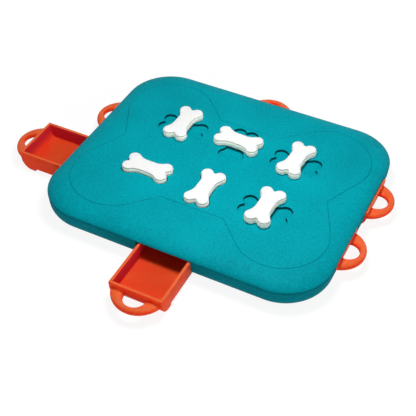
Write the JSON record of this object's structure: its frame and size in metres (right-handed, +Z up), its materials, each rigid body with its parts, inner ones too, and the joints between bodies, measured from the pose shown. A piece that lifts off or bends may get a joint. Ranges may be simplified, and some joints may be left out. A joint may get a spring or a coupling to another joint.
{
  "type": "dog puzzle feeder toy",
  "caption": "Flat rounded housing with pull-out treat drawers on all sides, each locked or freed by a bone-shaped turning key on the lid.",
  "frame": {"origin": "middle of the housing on the surface that the rubber feet stand on", "axes": "+X along the long side towards the right drawers, +Y towards the back drawer, +Z up"},
  "size_m": [0.389, 0.3405, 0.038],
  "materials": {
    "teal_plastic": "fine moulded grain, matte",
    "orange_plastic": "satin moulded",
    "white_plastic": "satin moulded",
    "white_nylon": "plain moulded",
    "zinc_screw": "zinc plated",
    "foot_rubber": "matte rubber"
  },
  "bodies": {
    "housing": {"base_tray": "teal_plastic", "top_cover": "teal_plastic", "housing_screws": "zinc_screw", "foot_left_front": "foot_rubber", "foot_left_back": "foot_rubber", "foot_right_front": "foot_rubber", "foot_right_back": "foot_rubber", "foot_middle": "foot_rubber"},
    "drawer_left_front": {"drawer_left_front": "orange_plastic"},
    "drawer_left_back": {"drawer_left_back": "orange_plastic"},
    "drawer_right_front": {"drawer_right_front": "orange_plastic"},
    "drawer_right_back": {"drawer_right_back": "orange_plastic"},
    "drawer_front": {"drawer_front": "orange_plastic"},
    "drawer_back": {"drawer_back": "orange_plastic"},
    "key_left_front": {"bone_key_left_front": "white_plastic", "lock_blade_left_front": "white_nylon", "blade_screw_left_front": "zinc_screw"},
    "key_left_back": {"bone_key_left_back": "white_plastic", "lock_blade_left_back": "white_nylon", "blade_screw_left_back": "zinc_screw"},
    "key_right_front": {"bone_key_right_front": "white_plastic", "lock_blade_right_front": "white_nylon", "blade_screw_right_front": "zinc_screw"},
    "key_right_back": {"bone_key_right_back": "white_plastic", "lock_blade_right_back": "white_nylon", "blade_screw_right_back": "zinc_screw"},
    "key_front": {"bone_key_front": "white_plastic", "lock_blade_front": "white_nylon", "blade_screw_front": "zinc_screw"},
    "key_back": {"bone_key_back": "white_plastic", "lock_blade_back": "white_nylon", "blade_screw_back": "zinc_screw"}
  },
  "joints": [
    {"name": "drawer_left_front_slide", "type": "slide", "parent": "housing", "child": "drawer_left_front", "axis": [-1, 0, 0], "range_m": [-0.051, 0.003]},
    {"name": "drawer_left_back_slide", "type": "slide", "parent": "housing", "child": "drawer_left_back", "axis": [-1, 0, 0], "range_m": [0, 0.054]},
    {"name": "drawer_right_front_slide", "type": "slide", "parent": "housing", "child": "drawer_right_front", "axis": [1, 0, 0], "range_m": [0, 0.054]},
    {"name": "drawer_right_back_slide", "type": "slide", "parent": "housing", "child": "drawer_right_back", "axis": [1, 0, 0], "range_m": [-0.002, 0.052]},
    {"name": "drawer_front_slide", "type": "slide", "parent": "housing", "child": "drawer_front", "axis": [0, -1, 0], "range_m": [-0.0535, 0.0005]},
    {"name": "drawer_back_slide", "type": "slide", "parent": "housing", "child": "drawer_back", "axis": [0, 1, 0], "range_m": [0, 0.054]},
    {"name": "key_left_back_turn", "type": "hinge", "parent": "housing", "child": "key_left_back", "pos_m": [-0.0645, 0.0384, 0.03], "axis": [0, 0, 1], "range_deg": [0, 90]},
    {"name": "key_right_front_turn", "type": "hinge", "parent": "housing", "child": "key_right_front", "pos_m": [0.0645, -0.0384, 0.03], "axis": [0, 0, 1], "range_deg": [0, 90]},
    {"name": "key_right_back_turn", "type": "hinge", "parent": "housing", "child": "key_right_back", "pos_m": [0.0645, 0.0384, 0.03], "axis": [0, 0, 1], "range_deg": [0, 90]},
    {"name": "key_back_turn", "type": "hinge", "parent": "housing", "child": "key_back", "pos_m": [0, 0.0384, 0.03], "axis": [0, 0, 1], "range_deg": [0, 90]},
    {"name": "key_left_front_lift", "type": "slide", "parent": "housing", "child": "key_left_front", "axis": [0, 0, 1], "range_m": [0, 0.00305]},
    {"name": "key_front_lift", "type": "slide", "parent": "housing", "child": "key_front", "axis": [0, 0, 1], "range_m": [0, 0.00305]}
  ]
}
